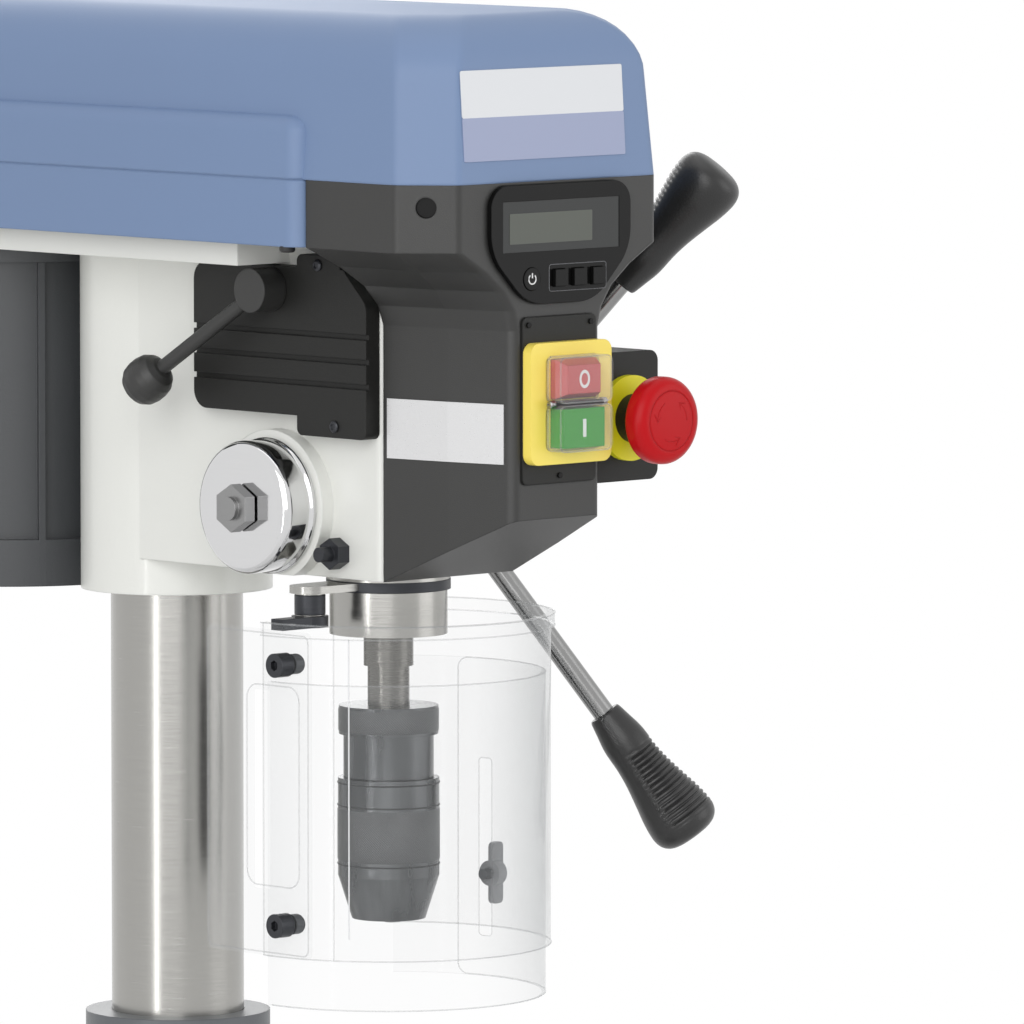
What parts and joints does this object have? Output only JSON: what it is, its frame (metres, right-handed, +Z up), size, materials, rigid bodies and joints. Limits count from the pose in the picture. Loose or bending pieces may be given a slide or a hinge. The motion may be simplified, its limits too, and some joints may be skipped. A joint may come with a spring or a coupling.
{
  "type": "pillar drill",
  "caption": "Floor-standing pillar drill with variable speed drive, digital display, keyless chuck, clear chuck guard, three-arm feed and tilting table on a rack.",
  "frame": {"origin": "column axis at the floor, on the underside of the base", "axes": "+Z up along the column, -Y to the front, where the spindle is, +X to the operator's right as they face the machine, the feed handles' side"},
  "size_m": [0.3235, 0.575, 1.6],
  "materials": {
    "cast_grey": "textured grey paint",
    "machined_iron": "ground iron",
    "bright_steel": "ground and polished",
    "dark_steel": "machined",
    "black_steel": "black oxide",
    "cream_paint": "gloss cream-white paint",
    "black_plastic": "fine texture",
    "grip_rubber": "ribbed",
    "blue_plastic": "satin moulded",
    "gloss_black": "gloss",
    "display_grey": "grey liquid crystal window",
    "yellow_plastic": "satin",
    "red_plastic": "satin",
    "green_plastic": "satin",
    "clear_plastic": "clear moulding",
    "chrome": "polished",
    "grey_plastic": "moulded",
    "belt_rubber": "moulded rubber",
    "motor_paint": "semi-gloss dark paint"
  },
  "bodies": {
    "root": {"base": "cast_grey", "column_flange": "cast_grey", "flange_bolts": "black_steel", "column": "bright_steel", "rack_collar": "cast_grey", "head_casting": "cream_paint", "front_casing": "black_plastic", "top_cover": "blue_plastic", "casing_screws": "black_steel", "display_bezel": "gloss_black", "display_window": "display_grey", "switch_panel": "black_plastic", "switch_plate": "yellow_plastic", "switch_cover": "clear_plastic", "stop_box": "black_plastic", "stop_collar": "yellow_plastic", "side_cover": "black_plastic", "spring_cap": "chrome", "return_spring": "dark_steel", "gib_screw": "black_steel", "guard_ring": "bright_steel", "drive_belt": "belt_rubber", "motor": "motor_paint"},
    "table_rack": {"column_rack": "bright_steel"},
    "table_bracket": {"table_bracket": "cast_grey", "tilt_bolt": "black_steel"},
    "table": {"table": "machined_iron"},
    "table_crank": {"crank_shaft": "dark_steel", "table_crank": "black_plastic"},
    "crank_grip": {"crank_grip": "black_plastic"},
    "clamp_lever": {"clamp_lever": "black_steel"},
    "power_key": {"power_key": "gloss_black"},
    "unit_key": {"unit_key": "gloss_black"},
    "mode_key": {"mode_key": "gloss_black"},
    "zero_key": {"zero_key": "gloss_black"},
    "stop_button": {"stop_button": "red_plastic"},
    "start_button": {"start_button": "green_plastic"},
    "stop_mushroom": {"stop_mushroom": "red_plastic"},
    "speed_lever": {"speed_lever": "black_plastic"},
    "spindle_pulley": {"spindle_pulley": "dark_steel"},
    "spindle_sheave": {"spindle_sheave": "dark_steel"},
    "motor_pulley": {"motor_pulley": "dark_steel"},
    "motor_sheave": {"motor_sheave": "dark_steel"},
    "quill": {"quill": "bright_steel", "quill_bearings": "dark_steel"},
    "spindle": {"spindle": "dark_steel", "chuck_body": "black_steel"},
    "chuck_sleeve": {"chuck_sleeve": "black_steel"},
    "chuck_jaw_1": {"chuck_jaw_1": "dark_steel"},
    "chuck_jaw_2": {"chuck_jaw_2": "dark_steel"},
    "chuck_jaw_3": {"chuck_jaw_3": "dark_steel"},
    "feed": {"feed_shaft": "dark_steel", "feed_hub": "black_plastic", "feed_rods": "bright_steel", "feed_grips": "grip_rubber"},
    "guard": {"guard_shield": "clear_plastic", "guard_plate": "clear_plastic", "guard_fixings": "black_steel"},
    "guard_extension": {"guard_extension": "clear_plastic"},
    "guard_wing_nut": {"guard_wing_nut": "grey_plastic"}
  },
  "joints": [
    {"name": "table_swing", "type": "hinge", "parent": "root", "child": "table_rack", "pos_m": [0, 0, 0], "axis": [0, 0, 1], "range_deg": [-180, 180]},
    {"name": "table_lift", "type": "slide", "parent": "table_rack", "child": "table_bracket", "axis": [0, 0, 1], "range_m": [-0.302, 0.268]},
    {"name": "table_tilt", "type": "hinge", "parent": "table_bracket", "child": "table", "pos_m": [0, -0.112, 0.634], "axis": [0, 1, 0], "range_deg": [-45, 45]},
    {"name": "crank_turn", "type": "hinge", "parent": "table_bracket", "child": "table_crank", "pos_m": [0, 0.06455, 0.634], "axis": [1, 0, 0], "range_deg": [-962, 854]},
    {"name": "crank_grip_spin", "type": "hinge", "parent": "table_crank", "child": "crank_grip", "pos_m": [0.1, 0.06455, 0.529], "axis": [1, 0, 0], "continuous": true},
    {"name": "clamp_turn", "type": "hinge", "parent": "table_bracket", "child": "clamp_lever", "pos_m": [-0.067, 0, 0.634], "axis": [0, 1, 0], "range_deg": [-15, 60]},
    {"name": "power_key_press", "type": "slide", "parent": "root", "child": "power_key", "axis": [0, 1, 0], "range_m": [0, 0.001], "stiffness_N_per_m": 300},
    {"name": "unit_key_press", "type": "slide", "parent": "root", "child": "unit_key", "axis": [0, 1, 0], "range_m": [0, 0.001], "stiffness_N_per_m": 300},
    {"name": "mode_key_press", "type": "slide", "parent": "root", "child": "mode_key", "axis": [0, 1, 0], "range_m": [0, 0.001], "stiffness_N_per_m": 300},
    {"name": "zero_key_press", "type": "slide", "parent": "root", "child": "zero_key", "axis": [0, 1, 0], "range_m": [0, 0.001], "stiffness_N_per_m": 300},
    {"name": "stop_button_press", "type": "slide", "parent": "root", "child": "stop_button", "axis": [0, 1, 0], "range_m": [0, 0.003], "stiffness_N_per_m": 500},
    {"name": "start_button_press", "type": "slide", "parent": "root", "child": "start_button", "axis": [0, 1, 0], "range_m": [0, 0.003], "stiffness_N_per_m": 500},
    {"name": "stop_mushroom_press", "type": "slide", "parent": "root", "child": "stop_mushroom", "axis": [0, 1, 0], "range_m": [0, 0.006]},
    {"name": "speed_turn", "type": "hinge", "parent": "root", "child": "speed_lever", "pos_m": [0, -0.14, 1.449], "axis": [1, 0, 0], "range_deg": [-25, 25], "deforming": ["drive_belt"]},
    {"name": "spindle_pulley_spin", "type": "hinge", "parent": "root", "child": "spindle_pulley", "pos_m": [0, -0.17, 0], "axis": [0, 0, 1], "continuous": true},
    {"name": "spindle_sheave_shift", "type": "slide", "parent": "spindle_pulley", "child": "spindle_sheave", "axis": [0, 0, 1], "range_m": [-0.006, 0.006]},
    {"name": "motor_spin", "type": "hinge", "parent": "root", "child": "motor_pulley", "pos_m": [0, 0.135, 0], "axis": [0, 0, 1], "continuous": true},
    {"name": "motor_sheave_shift", "type": "slide", "parent": "motor_pulley", "child": "motor_sheave", "axis": [0, 0, 1], "range_m": [-0.006, 0.006]},
    {"name": "feed_turn", "type": "hinge", "parent": "root", "child": "feed", "pos_m": [0, -0.137, 1.332], "axis": [1, 0, 0], "range_deg": [0, 468], "stiffness_Nm_per_rad": 0.06, "springref_deg": -1031.32},
    {"name": "quill_slide", "type": "slide", "parent": "root", "child": "quill", "axis": [0, 0, -1], "range_m": [0, 0.08]},
    {"name": "spindle_spin", "type": "hinge", "parent": "quill", "child": "spindle", "pos_m": [0, -0.17, 0], "axis": [0, 0, 1], "continuous": true},
    {"name": "chuck_sleeve_turn", "type": "hinge", "parent": "spindle", "child": "chuck_sleeve", "pos_m": [0, -0.17, 0], "axis": [0, 0, 1], "range_deg": [0, 3500]},
    {"name": "chuck_jaw_1_slide", "type": "slide", "parent": "spindle", "child": "chuck_jaw_1", "axis": [-0.2588, 0, -0.9659], "range_m": [0, 0.0245]},
    {"name": "chuck_jaw_2_slide", "type": "slide", "parent": "spindle", "child": "chuck_jaw_2", "axis": [0.1294, -0.2241, -0.9659], "range_m": [0, 0.0245]},
    {"name": "chuck_jaw_3_slide", "type": "slide", "parent": "spindle", "child": "chuck_jaw_3", "axis": [0.1294, 0.2241, -0.9659], "range_m": [0, 0.0245]},
    {"name": "guard_swing", "type": "hinge", "parent": "root", "child": "guard", "pos_m": [-0.058, -0.17, 0], "axis": [0, 0, -1], "range_deg": [0, 80]},
    {"name": "guard_extension_slide", "type": "slide", "parent": "guard", "child": "guard_extension", "axis": [0, 0, 1], "range_m": [-0.06, 0.025]},
    {"name": "wing_nut_turn", "type": "hinge", "parent": "guard", "child": "guard_wing_nut", "pos_m": [0, -0.17, 1.122], "axis": [0.9903, 0.1392, 0], "range_deg": [-360, 360]}
  ],
  "couplings": [
    {"joint": "crank_turn", "follows": "table_lift", "rad_per_m": 55.556},
    {"joint": "quill_slide", "follows": "feed_turn", "m_per_rad": 0.00975},
    {"joint": "spindle_pulley_spin", "follows": "spindle_spin", "ratio": 1},
    {"joint": "motor_spin", "follows": "spindle_spin", "ratio": 1},
    {"joint": "spindle_sheave_shift", "follows": "speed_turn", "m_per_rad": 0.01375},
    {"joint": "motor_sheave_shift", "follows": "speed_turn", "m_per_rad": 0.01375},
    {"joint": "chuck_jaw_1_slide", "follows": "chuck_sleeve_turn", "m_per_rad": 0.0004},
    {"joint": "chuck_jaw_2_slide", "follows": "chuck_sleeve_turn", "m_per_rad": 0.0004},
    {"joint": "chuck_jaw_3_slide", "follows": "chuck_sleeve_turn", "m_per_rad": 0.0004}
  ]
}
